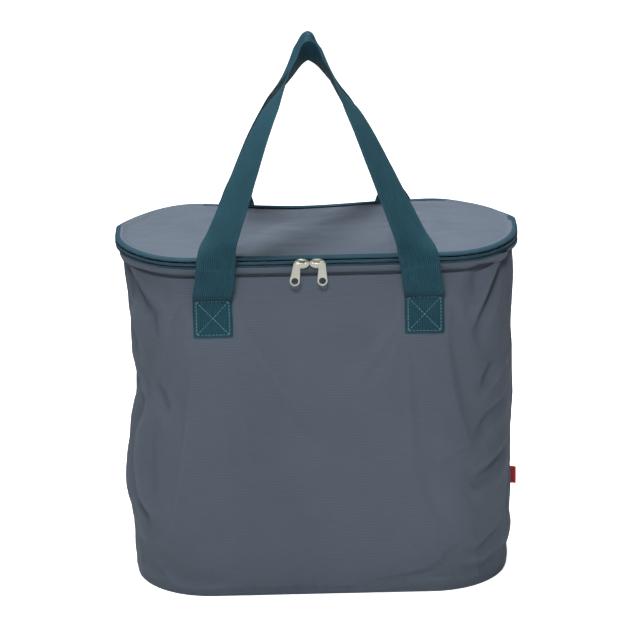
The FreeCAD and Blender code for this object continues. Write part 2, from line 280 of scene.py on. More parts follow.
def rim_shift(s):
    """The rim's slack in y and in z: the back's middle hangs down and in, the rest waves slightly."""
    x, at_back = top_x(s), np.clip(around(s)[3], 0, 1)
    slack = at_back ** 2 * np.exp(-((x + 14 * MM) / (70 * MM)) ** 2)
    wave = 0.7 * MM * np.sin(s * 41.0 + 1.2) * np.clip((np.abs(x) - 60 * MM) / (50 * MM), 0, 1)
    corner = at_back * (1 - at_back) * 4
    inward = -5.0 * MM * slack - 2.0 * MM * at_back - 3.0 * MM * corner
    return inward, -3.0 * MM * slack - 4.0 * MM * at_back - 2.6 * MM * corner + wave


def rim_path(s, out, z):
    """Points round the zip, out from its outer edge and at height z, with the rim's slack."""
    inward, down = rim_shift(s)
    points = outline(s, np.full_like(s, BODY_TOP.z), RIM_REACH + out)
    points[..., 1] += inward
    points[..., 2] = z + down
    return points


def ring_piece(name, s, section, closed):
    """Sweep a closed section of (out, z) pairs along the rim."""
    points = np.array([rim_path(s, out, z) for out, z in section])
    piece = grid_piece(name, points, True, closed)
    if not closed:
        cap_ends(piece, *points.shape[:2], sharp=False)
    return piece


# ---- Folds of the soft body ----
# The folds by the seam that they are measured from: the (distance towards the front, height)
# points, the depth (negative is a valley) and the half width, all in mm.
FOLDS = {
    RIGHT_SEAM: (
        (((43, 342), (70, 313), (84, 295), (99, 270)), -3.4, 7.0),
        (((90, 341), (101, 312)), -1.4, 7.0),
        (((58, 344), (84, 318), (106, 262)), 1.6, 5.0),
        (((92, 168), (118, 152), (158, 138)), 1.5, 6.0),
        (((70, 234), (83, 214)), -2.4, 6.0),
        (((45, 190), (76, 176), (88, 163)), -3.0, 6.5),
        (((35, 131), (59, 124), (76, 118), (99, 113)), -3.6, 7.0),
        (((47, 50), (70, 45), (92, 37)), -2.6, 6.0),
        (((-40, 250), (-70, 215)), -2.8, 7.0),
        (((-30, 120), (-66, 96)), -2.8, 7.0),
        (((30, 240), (60, 226), (92, 190)), 1.4, 4.2),
    ),
    LEFT_SEAM: (
        (((20, 342), (86, 294), (88, 269)), -4.2, 8.0),
        (((46, 330), (62, 300), (64, 262)), 1.6, 4.2),
        (((36, 248), (50, 222), (66, 196)), 2.0, 4.2),
        (((62, 300), (66, 262), (58, 232)), 2.4, 6.0),
        (((81, 221), (92, 195)), -2.6, 6.5),
        (((69, 190), (60, 168), (57, 127), (62, 96), (70, 80)), 3.0, 6.0),
        (((48, 196), (41, 165), (38, 127), (43, 92), (54, 72)), -6.0, 8.0),
        (((-46, 240), (-70, 205)), -2.6, 7.0),
        (((-36, 70), (-80, 50)), -2.4, 7.0),
    ),
}
FOLD_GAIN = 1.9
# Broad swells (negative is a dent) by their seam: the distance towards the front and the height,
# the size along and up, and the depth, all in mm
SWELLS = {
    LEFT_SEAM: ((5, 205, 60, 30, -12.5), (-8, 95, 52, 45, 7.0), (0, 292, 60, 36, -7.5),
                (0, 150, 60, 22, -2.0)),
    RIGHT_SEAM: ((0, 150, 60, 110, 3.0), (10, 22, 60, 12, -2.0), (10, 42, 60, 12, 1.6)),
}
# The hem below the zip and its folded edge: (height, how far it stands out) in mm, from the
# stitching and from the hem's top
HEM = ((-2.6, 0.0), (-1.0, -0.2), (0.0, -1.0), (0.9, 0.3), (1.9, 1.8), (3.4, 3.3), (5.0, 4.4), (6.8, 5.0),
       (8.2, 5.1), (9.3, 4.8))
HEM_FOLD = ((0.5, 4.3), (0.1, 3.6), (-2.0, 3.0))
HEM_ROWS = len(HEM) + len(HEM_FOLD)
SETTLE_FRAMES = 18
CLOTH_RULES = {"quality": 5, "mass": 0.25, "tension_stiffness": 18, "compression_stiffness": 18,
               "shear_stiffness": 6, "bending_stiffness": 2}


def from_seam(s, seam):
    """Distance in mm from a side seam, positive towards the front."""
    towards_front = 1 if seam == RIGHT_SEAM else -1
    return (np.mod(s - seam + PERIMETER / 2, PERIMETER) - PERIMETER / 2) * towards_front / MM


def fold_profile(s, z, seam, points, depth, width):
    """A fold's depth at each point: a soft groove or ridge that fades at its ends, with raised lips."""
    along, height = from_seam(s, seam), z / MM
    nearest = np.full(along.shape, 1e9)
    place_on = np.zeros(along.shape)
    for k, ((a0, h0), (a1, h1)) in enumerate(zip(points, points[1:])):
        da, dh = a1 - a0, h1 - h0
        t = np.clip(((along - a0) * da + (height - h0) * dh) / (da * da + dh * dh), 0, 1)
        gap = np.hypot(along - a0 - t * da, height - h0 - t * dh)
        place_on = np.where(gap < nearest, (k + t) / (len(points) - 1), place_on)
        nearest = np.minimum(nearest, gap)
    fade = 0.25 + 0.75 * np.sin(np.clip(place_on, 0, 1) * math.pi) ** 0.6
    groove = np.exp(-((nearest / width) ** 2)) - 0.35 * np.exp(-(((nearest - 2.1 * width) / width) ** 2))
    return FOLD_GAIN * depth * MM * fade * groove


def swell_profile(s, z, seam, along, height, size_along, size_height, depth):
    away = ((from_seam(s, seam) - along) / size_along) ** 2
    return depth * MM * np.exp(-away - ((z / MM - height) / size_height) ** 2)


def bell(height, middle, size):
    return np.exp(-((height - middle) / size) ** 2)


def body_push(s, z):
    """How far the fabric stands out from the straight body, along its normal."""
    x, height, ny = top_x(s), z / MM, around(s)[3]
    push = sum(fold_profile(s, z, seam, *fold) for seam, folds in FOLDS.items() for fold in folds)
    for seam, swells in SWELLS.items():
        for swell in swells:
            push = push + swell_profile(s, z, seam, *swell)
    sewn = np.where(ny < 0, LEGS["front"][0], LEGS["back"][0]) * MM
    off_patch = np.exp(-(((np.abs(x) - sewn) / (27 * MM)) ** 4 + ((height - 300) / 38) ** 4))
    push = push * (1 - off_patch * np.abs(ny))
    free = np.clip(z / (60 * MM), 0, 1) * np.clip((BODY_TOP.z - z) / (60 * MM), 0, 1)
    free = free * (1 - 0.8 * off_patch)
    push = push + free * (1.0 * MM * ripple(x, z, 150 * MM, 3) + 0.45 * MM * ripple(s, z, 60 * MM, 5))
    upper = 4.0 * bell(height, 291, 25) - 1.6 * bell(height, 333, 14)
    push = push + (1 - off_patch) * np.abs(ny) * MM * upper
    centre = np.abs(ny) ** 3 * np.cos(np.clip(x / CORE_X_TOP, -1, 1) * math.pi / 2) ** 2
    push = push + centre * 3.0 * MM * np.sin(np.clip(z / BODY_TOP.z, 0, 1) * math.pi)
    under = np.clip((BASE_ROUND - z) / BASE_ROUND, 0, 0.999)
    push = push - BASE_ROUND * (1 - np.sqrt(1 - under ** 2))
    return push * (0.25 + 0.75 * np.clip(z / (24 * MM), 0, 1))


def shell_rows():
    """The heights of the fabric's rows, and how far each stands out at the hem below the zip."""
    stitch = BODY_TOP.z - STITCH_DROP
    low = BASE_ROUND * (1 - np.cos(np.linspace(0.08, 0.5, 6) * math.pi))
    middle = np.linspace(low[-1], stitch - 5 * MM, 80)[1:]
    hem_z, hem_out = np.array(HEM).T * MM
    hem_z = stitch + hem_z
    heights = np.concatenate([low, middle, hem_z])
    out = np.interp(heights, hem_z, hem_out)
    fold_z, fold_out = np.array(HEM_FOLD).T * MM
    return np.concatenate([heights, hem_z[-1] + fold_z]), np.concatenate([out, fold_out])


def shell_points(s):
    """The body fabric's points over a row of arc lengths."""
    heights, out = shell_rows()
    z, across = np.meshgrid(heights, s, indexing="ij")
    points = outline(across, z, body_push(across, np.minimum(z, BODY_TOP.z)) + out[:, None])
    inward, down = rim_shift(across)
    near_rim = np.clip((z - 250 * MM) / (92 * MM), 0, 1) ** 2
    points[..., 1] += inward * near_rim
    points[..., 2] += down * near_rim
    return points


def relax_cloth(piece, held, start, cap, slack, gravity):
    """Let a sheet with a little too much cloth settle into soft wrinkles, and keep the result."""
    group = piece.vertex_groups.new(name="held")
    for index in np.flatnonzero(held):
        group.add([int(index)], 1.0, "REPLACE")
    cloth = piece.modifiers.new("cloth", "CLOTH")
    rules = cloth.settings
    for rule, value in CLOTH_RULES.items():
        setattr(rules, rule, value)
    rules.vertex_group_mass = "held"
    rules.shrink_min = -slack
    rules.effector_weights.gravity = gravity
    cloth.point_cache.frame_start, cloth.point_cache.frame_end = 1, SETTLE_FRAMES
    scene = bpy.context.scene
    for number in range(1, SETTLE_FRAMES + 1):
        scene.frame_set(number)
    evaluated = piece.evaluated_get(bpy.context.evaluated_depsgraph_get())
    shift = np.array([v.co for v in evaluated.data.vertices], float) - start
    piece.modifiers.clear()
    piece.vertex_groups.clear()
    scene.frame_set(1)
    size = np.linalg.norm(shift, axis=1, keepdims=True)
    result = start + shift * np.minimum(1, cap / np.maximum(size, 1e-9))
    piece.data.vertices.foreach_set("co", result.astype(np.float32).ravel())
    piece.data.update()
    return result


def panel_columns(first, last):
    """Arc lengths over a panel, close together at the seams."""
    close = np.array([0.0, 0.7, 1.8, 3.4]) * MM
    middle = np.linspace(first + 6 * MM, last - 6 * MM, 190)
    return np.concatenate([first + close, middle, last - close[::-1]])


def body_panels():
    """The front and back fabric panels, from side seam to side seam."""
    made = {}
    for name, first in (("front", RIGHT_SEAM), ("back", LEFT_SEAM)):
        s = panel_columns(first, first + PERIMETER / 2)
        edge = np.minimum(s - first, first + PERIMETER / 2 - s)
        tuck = 1.5 * MM * np.exp(-((edge / (1.3 * MM)) ** 2))
        normal = outward(s)
        points = shell_points(s) - normal * tuck[:, None]
        piece = grid_piece(name + "_fabric", points, flip=True)
        heights = shell_rows()[0]
        held = np.zeros(points.shape[:2])
        held[heights > BODY_TOP.z - 14 * MM] = 1
        held[heights < BASE_ROUND] = 1
        held[:, edge < 4 * MM] = 1
        on_strap = np.abs(np.abs(points[..., 0]) - LEGS[name][0] * MM) < 24 * MM
        held[on_strap & (points[..., 2] > PATCH_LOW.z - 8 * MM) & (np.abs(normal[:, 1]) > 0.8)] = 1
        start = points.reshape(-1, 3)
        points = relax_cloth(piece, held.ravel(), start, 2.6 * MM, 0.012, 0.15).reshape(points.shape)
        made[name] = (s, points)
        thicken(piece, CLOTH, 1)
        place(piece, "shell_fabric", "bag", name + "_panel")
    return made


# ---- Layers inside the wall ----
def settled_ring(panels, inset):
    """The settled fabric, both panels in one ring, moved in by inset and kept below the hem."""
    rows = [(points[:-HEM_ROWS] - outward(s) * inset)[:, 2:-2:2] for s, points in panels.values()]
    ring = np.concatenate(rows, axis=1)
    return ring[ring[:, :, 2].mean(1) > 8 * MM][::2]


def lining(panels):
    """The crinkled foil tub that holds the food, down the wall and in to the middle."""
    wall = settled_ring(panels, 7.4 * MM)[::-1]
    s = np.concatenate([across[2:-2:2] for across, points in panels.values()])
    floor, inset = 7.0 * MM, 7.6 * MM
    bends = ((8 * MM, 0), (4.5 * MM, 0.8 * MM), (2.0 * MM, 2.6 * MM), (0.6 * MM, 5.6 * MM))
    rows = []
    for z, inward in [(BODY_TOP.z - 1.0 * MM, inset)] + [(floor + up, inset + more) for up, more in bends]:
        height = np.full_like(s, z)
        rows.append(outline(s, height, 0.8 * body_push(s, np.maximum(height, BASE_ROUND)) - inward))
    edge = rows[-1]
    for share in np.linspace(0, 1, 14)[1:]:
        ring = edge + (spine(edge, CORE_X_BASE) - edge) * share
        ring[:, 2] = floor + 0.4 * MM
        rows.append(ring)
    points = np.concatenate([rows[:1], wall[wall[:, :, 2].mean(1) > 16 * MM], rows[1:]])
    across = np.arctan2(points[..., 1] * 2, points[..., 0]) * 150 * MM
    crinkle = 0.5 * MM * np.abs(ripple(across, points[..., 2] + points[..., 1], 26 * MM, 11, 9))
    crinkle[:2] = 0
    on_wall = points[..., 2] > 9 * MM
    points -= outward(s) * (crinkle * on_wall)[..., None]
    points[..., 2] += np.where(on_wall, 0, crinkle)
    piece = closed_sheet("foil_lining", points)
    thicken(piece, FOIL)
    place(piece, "foil_lining", "bag", "wall_lining", "base_lining")


def wall_insulation(panels):
    """The wall's foam, which follows the fabric's folds, and the base's foam."""
    outer, inner = settled_ring(panels, 2.9 * MM), settled_ring(panels, 6.7 * MM)
    piece = grid_piece("wall_foam_sheet", np.concatenate([outer, inner[::-1]]), True, True)
    place(piece, "foam", "bag", "wall_foam")
    s = full_turn(220)
    rows = [outline(s, np.full_like(s, z * MM), out * MM)
            for out, z in ((-9.0, 1.4), (-8.0, 3.0), (-8.0, 5.0), (-9.0, 6.4))]
    middle = spine(rows[0], CORE_X_BASE)
    bottom = [middle + (rows[0] - middle) * k for k in (0, 0.4, 0.8)]
    top = [middle + (rows[-1] - middle) * k for k in (0.8, 0.4, 0)]
    for ring in top:
        ring[:, 2] = rows[-1][:, 2]
    piece = closed_sheet("base_foam_sheet", bottom + rows + top)
    place(piece, "foam", "bag", "base_foam")


def seam_allowances(panels):
    """The sewn edges of the two panels, lying flat inside each side seam."""
    for name, side in (("right", 1), ("left", -1)):
        edges = [points[:-HEM_ROWS, column]
                 for (s, points), column in zip(panels.values(), (2, -3)[::side])]
        centre = (edges[0] + edges[1]) / 2 - np.array([1.5 * MM * side, 0, 0])
        centre = centre[centre[:, 2] > 5 * MM]
        grid = strap_grid(centre, np.array([0, 1.0, 0]), 9 * MM, CLOTH, 90)
        strap_mesh(name + "_seam_allowance", grid, "bag", slot="shell_fabric")


def base_fabric():
    """The base panel, sewn in just above the floor and lifted slightly in its middle."""
    s = full_turn(240)
    edge = outline(s, np.full_like(s, 0.5 * MM), -(BASE_ROUND - 1.6 * MM))
    rows = []
    for share in np.linspace(0, 1, 26):
        ring = edge + (spine(edge, CORE_X_BASE) - edge) * share
        lift = 0.9 * MM * (1 - math.exp(-share * 12))
        waves = min(1, share * 8) * ripple(ring[:, 0], ring[:, 1], 60 * MM, 21)
        ring[:, 2] = 0.05 * MM + lift + 0.25 * MM * waves
        rows.append(ring)
    rows[0][:, 2] = 0.9 * MM
    piece = closed_sheet("base_fabric", rows)
    thicken(piece, 0.6 * MM)
    place(piece, "shell_fabric", "bag", "base_panel")


# ---- Stitching ----
def stitches(name, lines, normals, slot, body, node, radius=0.32 * MM):
    """Rows of raised thread stitches along lines, each with its normals or one normal; each stitch
    dips into the cloth at its ends."""
    sides, rings, stitch, gap = 6, 5, 2.7 * MM, 0.8 * MM
    quads = grid_faces(rings, sides, closed_columns=True)[0].tolist()
    one = np.arange(rings * sides).reshape(rings, sides).tolist()
    one = quads + [one[0][::-1], one[-1]]
    share = np.linspace(-0.5, 0.5, rings)
    lift = radius * (0.55 - 1.9 * (2 * share) ** 4)
    size = radius * np.array([0.55, 1.0, 1.08, 1.0, 0.55])[:, None]
    angle = np.arange(sides) * 2 * math.pi / sides
    points, faces, start = [], [], 0
    for line, ups in zip(lines, normals):
        run, ups = running_length(line), np.broadcast_to(ups, line.shape)
        count = max(1, int(round(run[-1] / (stitch + gap))))
        pitch = run[-1] / count
        at = ((np.arange(count) + 0.5) * pitch)[:, None] + share[None] * (pitch - gap)
        centre = np.stack([np.interp(at, run, line[:, k]) for k in range(3)], -1)
        up = np.stack([np.interp(at, run, ups[:, k]) for k in range(3)], -1)
        up /= np.linalg.norm(up, axis=-1, keepdims=True)
        along = np.gradient(centre, axis=1)
        along /= np.maximum(np.linalg.norm(along, axis=-1, keepdims=True), 1e-12)
        side = np.cross(along, up)
        centre = centre + up * lift[None, :, None]
        ring = (centre[:, :, None] + side[:, :, None] * (np.cos(angle) * size)[None, :, :, None]
                + up[:, :, None] * (np.sin(angle) * size)[None, :, :, None])
        points.append(ring.reshape(-1, 3))
        for first in range(start, start + len(points[-1]), rings * sides):
            faces += [[first + corner for corner in face] for face in one]
        start += len(points[-1])
    return place(make_piece(name, np.concatenate(points), faces), slot, body, node)


def hem_stitching(panels):
    """The row of stitches under the zip, over both panels."""
    row = int(np.argmin(np.abs(shell_rows()[0] - (BODY_TOP.z - STITCH_DROP))))
    lines = [points[row] for s, points in panels.values()]
    normals = [outward(s) for s, points in panels.values()]
    stitches("rim_stitching", lines, normals, "grey_thread", "bag", "rim_topstitch")


# ---- The zip ----
TAPE_THICK = 0.7 * MM
# Each tape: its piece, body and node, and its outer face as (out, height) pairs in mm
TAPES = (
    ("zip_tape_lower", "bag", "lower_zip_tape",
     ((-3.6, 343.9), (-1.9, 345.2), (-1.0, 346.2), (-0.9, 346.9), (-1.8, 347.5), (-3.6, 347.9))),
    ("zip_tape_upper", "lid", "upper_zip_tape",
     ((-3.6, 352.1), (-1.8, 352.5), (-0.8, 353.1), (-0.8, 354.0), (-2.2, 355.2), (-4.8, 355.9),
      (-8.0, 355.4))),
)
COIL_PITCH, COIL_RADIUS, COIL_SIDES = 1.7 * MM, 0.74 * MM, 8
COIL_IN, COIL_APART = 1.5 * MM, 0.72 * MM
# The hinge's cloth and the cover of the wall's top edge, each as (out, height) pairs in mm
HINGE_BEND = ((-5.6, 341.0), (-2.4, 343.0), (-0.6, 346.0), (0.2, 350.0), (-0.6, 353.4), (-2.3, 355.3),
              (-4.9, 356.0), (-8.2, 355.5))
COVER_BEND = ((-5.6, -7.0), (-5.4, -2.0), (-6.8, 0.6), (-11.0, 1.4), (-15.4, 0.7), (-16.9, -2.0),
              (-16.6, -9.0))


def zip_arc(count):
    """Arc lengths from one end of the zip, round by the front, to its other end."""
    gap = HINGE_STRIP + 0.3 * MM
    first, last = MIDDLE_BACK + gap - PERIMETER, MIDDLE_BACK - gap
    return np.linspace(first, last, count or int((last - first) / COIL_PITCH * 5))


def zip_tapes():
    for name, body, node, section in TAPES:
        outer = [(out * MM, z * MM) for out, z in section]
        inner = [(out - 0.7 * TAPE_THICK, z - 0.5 * TAPE_THICK) for out, z in outer[::-1]]
        place(ring_piece(name, zip_arc(420), outer + inner, False), "zip_tape", body, node)


def zip_coils():
    """Each row of coil: a ribbed cord, its ribs half a pitch apart so that the rows mesh."""
    s = zip_arc(None)
    for name, body, node, side in (("zip_coil_lower", "bag", "lower_zip_coil", -1),
                                   ("zip_coil_upper", "lid", "upper_zip_coil", 1)):
        phase = math.pi if side > 0 else 0.0
        radius = COIL_RADIUS * (1 + 0.16 * np.sin(s / COIL_PITCH * 2 * math.pi + phase))
        z = ZIP_Z + side * COIL_APART
        rows = [rim_path(s, radius * math.cos(angle) - COIL_IN, z + radius * math.sin(angle))
                for angle in np.arange(COIL_SIDES) * 2 * math.pi / COIL_SIDES]
        piece = grid_piece(name, np.array(rows), closed_rows=True)
        cap_ends(piece, len(rows), len(s))
        place(piece, "zip_coil", body, node)


def flat_curve(pairs, step):
    """A smooth curve through pairs in mm, as pairs in metres."""
    return smooth_path(np.array([(a, b, 0) for a, b in pairs]) * MM, step)[:, :2]


def hinge_strip():
    """The cloth strip at the back that joins the lid to the bag."""
    s = np.linspace(MIDDLE_BACK - HINGE_STRIP, MIDDLE_BACK + HINGE_STRIP, 60)
    outer = flat_curve(HINGE_BEND, 1.0 * MM)
    inner = outer[::-1] - np.array([0.6, 0.55]) * MM
    piece = ring_piece("hinge_cloth", s, np.concatenate([outer, inner]), False)
    place(piece, "zip_tape", None, "lid_hinge_strip")
    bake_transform(piece)


def bindings():
    """The tape that covers the wall's top edge inside, and the one round the lid's underside."""
    s = full_turn(300)
    outer = flat_curve(COVER_BEND, 1.2 * MM)
    centre = np.array([-11.0, -5.0]) * MM
    inner = centre + (outer[::-1] - centre) * 0.87
    cover = [(out, BODY_TOP.z + z) for out, z in np.concatenate([outer, inner])]
    place(ring_piece("rim_binding_tape", s, cover, True), "binding", "bag", "rim_binding")
    angles = np.linspace(0, 2 * math.pi, 14, endpoint=False)
    lid = [(-(6.2 + 3.0 * math.cos(a)) * MM, ZIP_Z + (2.2 + 1.3 * math.sin(a)) * MM) for a in angles]
    place(ring_piece("lid_binding_tape", s, lid, True), "binding", "lid", "lid_binding")


# ---- The lid ----
# The lid's bumps (negative is a dent): the place, the size in x and y, and the height, in mm
LID_BUMPS = (
    (62, 66, 40, 26, 7.5), (-20, 50, 55, 40, -5.0), (135, 60, 40, 30, -3.0), (56, -30, 34, 22, -3.4),
    (-105, 60, 40, 40, 2.5), (120, -35, 50, 30, 2.0), (-40, -45, 60, 22, 2.2), (0, -10, 120, 30, 1.5),
)


def lid_height(x, y, share):
    """The lid fabric's height above its edge; share is 0 at the edge and 1 along the middle."""
    rise = np.zeros_like(x)
    for middle_x, middle_y, size_x, size_y, height in LID_BUMPS:
        away = -((x / MM - middle_x) / size_x) ** 2 - ((y / MM - middle_y) / size_y) ** 2
        rise += height * MM * np.exp(away)
    rise += 1.5 * MM * ripple(x * 0.3, y, 26 * MM, 31) + 0.7 * MM * ripple(x * 0.35, y, 13 * MM, 33)
    rise += 0.7 * MM
    return rise * np.clip(share * 2.6, 0, 1)


def lid_points():
    """The lid fabric's points: its tucked edge, its lip, and rings from there in to the middle."""
    s = full_turn(300)
    tucked, lip, edge = (rim_path(s, -out * MM, LID_EDGE + up * MM)
                         for out, up in ((7.2, -0.9), (5.8, -0.1), (6.4, 0.5)))
    rows = [tucked, lip, edge]
    back = edge[:, 2] - LID_EDGE
    for share in np.linspace(0, 1, 30)[1:]:
        ring = edge + (spine(edge, CORE_X_TOP) - edge) * share
        round_over = 1.4 * MM * (1 - math.exp(-share * 14))
        ring[:, 2] = LID_EDGE + back * (1 - share) + round_over + lid_height(ring[:, 0], ring[:, 1], share)
        rows.append(ring)
    return np.array(rows)


def lid_top():
    """The lid's slack fabric: shaped, welded along its middle, then settled as cloth."""
    points = lid_points()
    piece = closed_sheet("lid_fabric", points)
    start = np.array([v.co for v in piece.data.vertices], float)
    kx = np.clip(start[:, 0], -CORE_X_TOP, CORE_X_TOP)
    reach = np.hypot(start[:, 0] - kx, np.maximum(0, np.abs(start[:, 1]) - CORE_Y))
    settled = relax_cloth(piece, reach > BODY_RADIUS - 3 * MM, start, 3.5 * MM, 0.02, 0.4)
    tree = KDTree(len(start))
    for index, spot in enumerate(start):
        tree.insert(spot, index)
    tree.balance()
    index = [tree.find(spot)[1] for spot in points.reshape(-1, 3)]
    points = settled[index].reshape(points.shape)
    thicken(piece, CLOTH, 1)
    place(piece, "lid_fabric", "lid", "lid_panel")
    return points


def lid_inside(fabric):
    """The lid's foam and its foil, both following the fabric above them."""
    inner = fabric[4:]
    top, bottom, sheet = (inner - np.array([0, 0, down * MM]) for down in (2.4, 6.0, 6.5))
    piece = closed_sheet("lid_foam_sheet", np.concatenate([top[::-1], bottom]))
    place(piece, "foam", "lid", "lid_foam")
    sheet[..., 2] -= 0.35 * MM * np.abs(ripple(sheet[..., 0], sheet[..., 1], 24 * MM, 41, 9))
    piece = closed_sheet("lid_foil", sheet)
    thicken(piece, FOIL)
    place(piece, "foil_lining", "lid", "lid_lining")


def lid_stitching(fabric):
    line = np.concatenate([fabric[5], fabric[5][:1]])
    stitches("lid_stitching", [line], [(0, 0, 1.0)], "grey_thread", "lid", "lid_topstitch")


# ---- Webbing ----
def smooth_path(points, step):
    """A natural cubic spline through the points, sampled about every step."""
    t = running_length(points)
    n, h = len(points), np.diff(t)
    matrix, right = np.eye(n), np.zeros((n, 3))
    for i in range(1, n - 1):
        matrix[i, i - 1:i + 2] = h[i - 1], 2 * (h[i - 1] + h[i]), h[i]
        right[i] = 6 * ((points[i + 1] - points[i]) / h[i] - (points[i] - points[i - 1]) / h[i - 1])
    bend = np.linalg.solve(matrix, right)
    at = np.linspace(0, t[-1], int(t[-1] / step) + 1)
    k = np.clip(np.searchsorted(t, at, side="right") - 1, 0, n - 2)
    a, b = ((t[k + 1] - at) / h[k])[:, None], ((at - t[k]) / h[k])[:, None]
    curve = ((a ** 3 - a) * bend[k] + (b ** 3 - b) * bend[k + 1]) * (h[k] ** 2)[:, None] / 6
    return a * points[k] + b * points[k + 1] + curve


def strap_section(width, thickness):
    """(across, out) pairs round a strap's cross-section, with soft woven edges."""
    half, face = width / 2, np.linspace(-1, 1, 11)
    body = thickness / 2 * (1 - 0.25 * face ** 8)
    upper = [(k * (half - 0.5 * MM), t) for k, t in zip(face, body)]
    lower = [(k * (half - 0.5 * MM), -t) for k, t in zip(face[::-1], body)]
    return np.array([(-half, 0)] + upper + [(half, 0)] + lower)


def strap_grid(centre, edge, width, thickness, seed):
    """The points of a woven strap along a path; edge is the direction across it."""
    along = np.gradient(centre, axis=0)
    along /= np.linalg.norm(along, axis=1, keepdims=True)
    edge = edge - along * (edge * along).sum(1, keepdims=True)
    for _ in range(12):
        edge[1:-1] = (edge[:-2] + 2 * edge[1:-1] + edge[2:]) / 4
    edge /= np.linalg.norm(edge, axis=1, keepdims=True)
    face = np.cross(along, edge)
    face /= np.linalg.norm(face, axis=1, keepdims=True)
    run = running_length(centre)
    wander = 0.18 * MM * ripple(run, run * 0, 24 * MM, seed)[:, None]
    return np.array([centre + edge * (across + wander) + face * out
                     for across, out in strap_section(width, thickness)])


def strap_mesh(name, grid, body, *nodes, slot="webbing"):
    piece = grid_piece(name, grid, closed_rows=True)
    cap_ends(piece, *grid.shape[:2])
    return place(piece, slot, body, *nodes)


def eased(share):
    share = np.clip(share, 0, 1)
    return share * share * (3 - 2 * share)


def strap_turn(which, climb):
    """How far a leg has turned on edge, at a share of its climb from the rim to the grip."""
    first, reach, rest = TURNS[which]
    turn = first * eased(climb / reach) + rest * np.clip(climb / 0.75, 0, 1)
    return np.radians(turn + 20 * eased((climb - 0.68) / 0.22))


def front_to_back(points, side):
    """side is 1 for the front handle; the back one is its mirror image in y."""
    return points * np.array([1.0, side, 1.0])


def handle_path(which):
    """One handle's webbing from stitched end to stitched end: its centreline, the direction
    across it, and how many points of the centreline lie below the loop at each end."""
    depth, height, tilt = GRIPS[which]
    legs, flat, top = LEGS[which], PATCH_LOW.y / MM, PATCH_HIGH.z / MM
    rise = ((flat + 0.9, top - 4.0), (flat + 0.5, top - 1.5), (-97.4, 315.2), (-106.3, 321.0),
            (-110.6, 334.0))
    climbs = ((-111.5, 353.0), (-111.2, 362.0), (-105.0, 385.0), (-78.0, 439.0), (-depth - 21.0, 499.5),
              (-depth - 8.0, height - 19.0), (-depth - 2.4, height - 6.6))
    stations = [(0, legs[0] + (legs[1] - legs[0]) * eased((z - 314) / 39), y, z) for y, z in rise]
    for x, (y, z) in zip(legs[1:], climbs):
        lean = APEX_LEAN[which] * math.sqrt(max(0.0, z - 353) / (height - 352))
        stations.append((lean, x, y, z))
    left = [(lean - x, y, z) for lean, x, y, z in stations]
    right = [(lean + x, y, z) for lean, x, y, z in stations[::-1]]
    path = smooth_path(np.array(left + [(GRIP_X, -depth, height)] + right) * MM, 1.5 * MM)
    run = running_length(path)
    climb = 1 - np.abs(2 * run / run[-1] - 1)
    foot = climb[int(np.argmax(path[:, 2] > TWIST_START[which]))]
    angle = strap_turn(which, np.clip((climb - foot) / (1 - foot), 0, 1))
    heading = np.clip((run[-1] / 2 - run) / (16 * MM), -1, 1)
    tilt = math.radians(tilt)
    upright = np.array([0, -math.cos(tilt), math.sin(tilt)])
    edge = (heading * np.cos(angle))[:, None] * ACROSS + np.sin(angle)[:, None] * upright
    return path, edge, int(np.argmax(path[:, 2] > LOOP_START))


def webbing_bow(z, middle):
    """How far the stitched-down webbing bows out at height z."""
    return 0.45 * MM * (1 - ((z - middle) / (19 * MM)) ** 2)


def handle_patch(name, side, x, seed, *nodes):
    """One stitched-down end of a handle; gives back the lines of its box-X stitching."""
    flat = PATCH_LOW.y
    down = np.linspace(PATCH_HIGH.z - 0.2 * MM, PATCH_LOW.z + 0.3 * MM, 24)
    out = flat + 0.75 * MM - webbing_bow(down, (PATCH_LOW.z + PATCH_HIGH.z) / 2)
    grid = strap_grid(front_to_back(xyz(x, out, down), side), ACROSS, STRAP_WIDTH, 2.6 * MM, seed)
    strap_mesh(name, grid, "bag", *nodes)
    inset = 3.2 * MM
    x0, x1 = x - STRAP_WIDTH / 2 + inset, x + STRAP_WIDTH / 2 - inset
    z0, z1 = PATCH_LOW.z + inset, PATCH_HIGH.z - 1.2 * MM
    corners = [(x0, z0), (x1, z0), (x1, z1), (x0, z1)]
    pairs = [(corners[i], corners[(i + 1) % 4]) for i in range(4)]
    pairs += [(corners[0], corners[2]), (corners[1], corners[3])]
    share = np.linspace(0, 1, 14)
    lines = []
    for (xa, za), (xb, zb) in pairs:
        z = za + (zb - za) * share
        y = flat - 0.75 * MM - webbing_bow(z, (z0 + z1) / 2)
        lines.append(front_to_back(xyz(xa + (xb - xa) * share, y, z), side))
    return lines


def handle(which):
    """One handle: two stitched-down ends, two risers over the rim, and the carrying loop."""
    side = 1 if which == "front" else -1
    risers, loop = which + "_risers", which + "_loop"
    path, edge, cut = handle_path(which)
    last = len(path) - cut
    grid = strap_grid(front_to_back(path, side), front_to_back(edge, side), STRAP_WIDTH, STRAP_THICK, 50)
    for name, part, nodes, bodies, bend in (
        ("_left_riser", grid[:, :cut + 1], (which + "_handle_risers",), ("bag", risers), RISER_BEND),
        ("_right_riser", grid[:, last - 1:], (), ("bag", risers), RISER_BEND),
        ("_webbing_loop", grid[:, cut:last], (which + "_handle_loop",), (risers, loop), LOOP_BEND),
    ):
        piece = strap_mesh(which + name, part, None, *nodes)
        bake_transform(piece)
    sewn = LEGS[which][0] * MM
    lines = handle_patch(which + "_left_patch", side, -sewn, 60, which + "_handle_ends")
    lines += handle_patch(which + "_right_patch", side, sewn, 61)
    normals = [(0, -1.0 * side, 0)] * len(lines)
    stitches(which + "_box_stitching", lines, normals, "thread", "bag", which + "_handle_stitches", 0.3 * MM)


